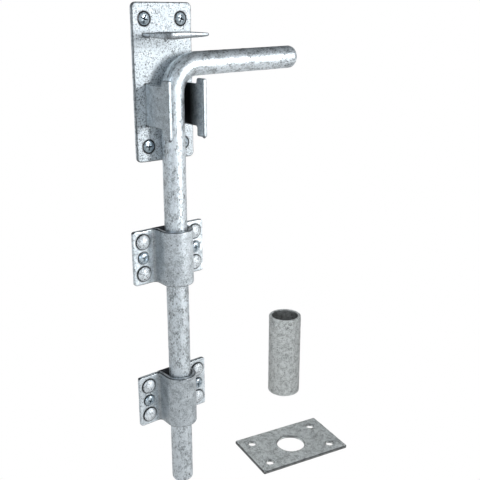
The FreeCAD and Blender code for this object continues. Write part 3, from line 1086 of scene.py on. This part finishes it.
def cross_cutter(top, depth, long, wide):
    """A tapered cross that cuts a driver's recess into a head."""
    foot = 0.42
    parts = []
    for a, b in ((long, wide), (wide, long)):
        verts = []
        for y, s in ((top, 1.0), (top + depth, foot)):
            verts += [(x, y, z) for x, z in rectangle((-a * s, a * s), (-b * s, b * s))]
        faces = [(0, 1, 2, 3), (7, 6, 5, 4), (0, 4, 5, 1), (1, 5, 6, 2), (2, 6, 7, 3), (3, 7, 4, 0)]
        part = mesh_object("cross", verts, faces)
        weld(part)
        parts.append(part)
    middle = [(0, top), (wide * 1.9, top), (wide * 0.8, top + depth), (0, top + depth * 1.3)]
    return join("cross", parts + [lathe("cross", middle, 16)])


def make_screw(kind, profile, recess, neck, shank, end, pitch):
    """One screw's mesh about +Y: a head with its recess, and a threaded shank to a point."""
    head = lathe(kind, profile + [(neck, NECK_END), (0, NECK_END)], 64)
    boolean(head, cross_cutter(**recess), "DIFFERENCE")
    core = shank * 0.72
    thread = threaded("thread", NECK_END, end, core, shank, pitch, point=SCREW_POINT)
    return join(kind, [head, thread])


def paint_rim_recess_shade(master, seam, head_r, top_y, rim, recessed):
    """Gives the near-black finish, which paints shade, to a head's rim, and to the inside of its recess if it
    has one.
    """
    master.data.materials.clear()
    master.data.materials.append(seam)
    master.data.materials.append(seam)
    recess_r, recess_depth, dome = head_r * 0.62, 0.35 * MM, 0.6
    for face in master.data.polygons:
        c = face.center
        r = math.hypot(c.x, c.z)
        dome_y = top_y + r * r / (2 * head_r) * dome
        deep = c.y > dome_y + recess_depth
        at_rim = r > head_r * rim and c.y < NECK_END
        in_recess = recessed and deep and r < recess_r and top_y - MM < c.y < NECK_END
        face.material_index = 1 if at_rim or in_recess else 0


def place_copies(master, names, material, seed=0, seam=None, sharp=35):
    """Puts a fastener's mesh at each CAD node of its kind. With a seed, each has its own turn."""
    rng = np.random.default_rng(seed)
    for node in names:
        x, z = centre_of(node)
        copy = link(bpy.data.objects.new(node + "_skin", master.data.copy()))
        turn = Matrix.Rotation(rng.uniform(0, math.tau), 4, "Y") if seed else Matrix.Identity(4)
        copy.data.transform(Matrix.Translation((x, 0, z)) @ turn)
        finish_of = [face.material_index for face in copy.data.polygons]
        shade(copy, material, FIXED, sharp)
        # The near-black finish paints shade on the head's rim and in its recess
        if seam:
            copy.data.materials.append(seam)
            copy.data.polygons.foreach_set("material_index", finish_of)
        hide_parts(node)
    bpy.data.objects.remove(master)


def make_plate_screws(material, seam):
    names = node_names("plate_screw", LEVELS, SIDES)
    lo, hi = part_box(names[0])
    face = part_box("lock_plate")[0].y
    r = radius_of(names[0]) - 0.15 * MM
    neck = 2.2 * MM
    profile = cap_profile(r - 0.1 * MM, face, face - lo.y)
    profile += [(r, face + 0.15 * MM), (neck, face + r - neck)]
    recess = dict(top=lo.y - 0.05 * MM, depth=1.9 * MM, long=2.8 * MM, wide=0.55 * MM)
    screw = make_screw("plate_screw", profile, recess, neck, PLATE_SCREW_R, hi.y, pitch=1.8 * MM)
    paint_rim_recess_shade(screw, seam, head_r=r, top_y=lo.y, rim=0.88, recessed=True)
    place_copies(screw, names, material, seed=5, seam=seam)


def make_guide_screws(material, seam):
    names = node_names("guide_screw", GUIDES, SIDES)
    lo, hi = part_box(names[0])
    r = radius_of(names[0])
    neck = 1.8 * MM
    face = -SHEET_T
    profile = cap_profile(r * 0.72, lo.y + 0.25 * MM, 0.25 * MM, 4)
    profile += [(r * 0.90, lo.y + 0.75 * MM), (r, lo.y + 1.45 * MM), (r, face - 0.1 * MM)]
    profile += [(r - 0.1 * MM, face), (neck, face)]
    recess = dict(top=lo.y - 0.05 * MM, depth=1.6 * MM, long=2.5 * MM, wide=0.50 * MM)
    screw = make_screw("guide_screw", profile, recess, neck, GUIDE_SCREW_R, hi.y, pitch=1.6 * MM)
    paint_rim_recess_shade(screw, seam, head_r=r, top_y=lo.y, rim=0.95, recessed=True)
    place_copies(screw, names, material, seed=8, seam=seam)


def make_bolts(material, seam):
    """Carriage bolts: a domed head, a square neck, a plain grip and a threaded end."""
    names = node_names("carriage_bolt", GUIDES, SIDES, LEVELS)
    lo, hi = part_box(names[0])
    r = radius_of(names[0])
    face = -SHEET_T
    rim = 0.5 * MM
    lap = 0.1 * MM
    profile = cap_profile(r - 0.15 * MM, face - rim, face - rim - lo.y, 14)
    profile += [(r, face - rim * 0.8), (r - 0.1 * MM, face - rim * 0.5), (r - 0.7 * MM, face), (0, face)]
    head = lathe("bolt", profile, 64)
    half = BOLT_SQUARE / 2
    square = round_corners(rectangle((-half, half), (-half, half)), 0.4 * MM, 3)
    neck = slab("neck", "xz", [square], face - lap, NECK_END, edge=0.2 * MM)
    grip = tube_between("grip", (0, NECK_END - lap, 0), (0, BOLT_GRIP_END, 0), BOLT_GRIP_R, 32)
    thread = threaded("thread", BOLT_GRIP_END - lap, hi.y, **BOLT_THREAD, sides=32, flat=0.12)
    bolt = join("bolt", [head, neck, grip, thread])
    paint_rim_recess_shade(bolt, seam, head_r=r, top_y=lo.y, rim=0.90, recessed=False)
    place_copies(bolt, names, material, seam=seam)


def make_washers(material):
    names = node_names("washer", GUIDES, SIDES, LEVELS)
    lo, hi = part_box(names[0])
    rings = [circle((0, 0), radius_of(names[0]), 56), circle((0, 0), WASHER_BORE_R, 40)]
    washer = slab("washer", "xz", rings, lo.y, hi.y, edge=0.2 * MM)
    place_copies(washer, names, material)


def make_nuts(material):
    """Hexagon nuts with their corners turned down and their holes' mouths opened."""
    names = node_names("hex_nut", GUIDES, SIDES, LEVELS)
    lo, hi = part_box(names[0])
    corner = radius_of(names[0])
    flat = corner * math.cos(math.pi / 6)
    wide = corner * 1.2
    nut = slab("nut", "xz", [circle((0, 0), corner, 6)], lo.y, hi.y, edge=0.05 * MM)
    shape = [(0, lo.y - MM), (wide, lo.y - MM), (wide, hi.y - 0.9 * MM), (flat - 0.2 * MM, hi.y), (0, hi.y)]
    boolean(nut, lathe("facing", shape, 64), "INTERSECT")
    bore, mouth = NUT_BORE_R, 0.5 * MM
    hole = [(0, lo.y - MM), (bore + mouth, lo.y - 0.05 * MM), (bore, lo.y + mouth), (bore, hi.y - mouth),
            (bore + mouth, hi.y + 0.05 * MM), (0, hi.y + MM)]
    boolean(nut, lathe("hole", hole, 40), "DIFFERENCE")
    place_copies(nut, names, material, sharp=30)


# ---------------------------------------------------------------- ground fittings

def make_sleeve(material):
    lo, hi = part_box("ground_sleeve")
    centre = centre_of("ground_sleeve", "xy")
    r = radius_of("ground_sleeve")
    rings = [circle(centre, r, 96), circle(centre, r - SLEEVE_WALL, 96)]
    sleeve = slab("ground_sleeve_skin", "xy", rings, lo.z, hi.z, edge=0.7 * MM)
    dipped(sleeve, voxel=0.6 * MM)
    lumpy(sleeve, size=7 * MM, seed=12)
    co = points_of(sleeve)
    # Painted shade inside the bore and at its mouth
    from_bore = np.hypot(co[:, 0] - centre[0], co[:, 1] - centre[1]) - (r - SLEEVE_WALL)
    grime(sleeve, [(np.maximum(from_bore, 0.0), *BORE_SHADE)])
    shade(sleeve, material)
    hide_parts("ground_sleeve")
    return sleeve


def make_strike_plate(material):
    lo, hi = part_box("strike_plate")
    half_x, half_y = STRIKE_SIZE[0] / 2, STRIKE_SIZE[1] / 2
    step_x, step_y = STRIKE_HOLE_STEP
    outlines = [round_corners(rectangle((-half_x, half_x), (-half_y, half_y)), 1.2 * MM, 5)]
    outlines.append(circle((0, 0), STRIKE_BORE_R, 72))
    for i in (-0.5, 0.5):
        for j in (-0.5, 0.5):
            outlines.append(circle((i * step_x, j * step_y), STRIKE_HOLE_R, 40))
    plate = slab("strike_plate_skin", "xy", outlines, 0, hi.z - lo.z, edge=0.4 * MM)
    dipped(plate, voxel=0.45 * MM)
    lumpy(plate, size=9 * MM, seed=13, height=0.08 * MM)
    # Painted shade along the plate's outer edges
    off = np.abs(points_of(plate)[:, :2]) - (half_x, half_y)
    grime(plate, [(off.max(axis=1), *RIM_SHADE)])
    middle = (*centre_of("strike_plate", "xy"), lo.z)
    plate.data.transform(Matrix.Translation(middle) @ Matrix.Rotation(STRIKE_TURN, 4, "Z"))
    shade(plate, material)
    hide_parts("strike_plate")
    return plate


def main():
    bpy.context.scene.view_settings.view_transform = "Standard"
    make_camera()
    make_lights()
    make_world()
    make_stage()
    finish = {name: zinc("zinc_" + name, **look) for name, look in FINISHES.items()}
    cane = make_cane(finish["bar"])
    make_lock_plate(finish["plate"])
    for side in SIDES:
        make_cheek(side, finish["cheek"])
    make_hook(finish["hook"])
    upper = make_guide("upper", finish["guide"], 20)
    make_guide("lower", finish["guide"], 21)
    make_plate_screws(finish["screw"], finish["seam"])
    make_guide_screws(finish["screw"], finish["seam"])
    make_bolts(finish["bolt"], finish["seam"])
    make_washers(finish["bolt"])
    make_nuts(finish["bolt"])
    loose = [make_sleeve(finish["tube"]), make_strike_plate(finish["ground"])]
    link_lamp("low_bounce", [cane, upper], "INCLUDE")
    link_lamp("right_gleam", [upper], "INCLUDE")
    link_lamp("key_right", loose, "EXCLUDE")
    link_lamp("ground_fill", loose, "INCLUDE")


main()
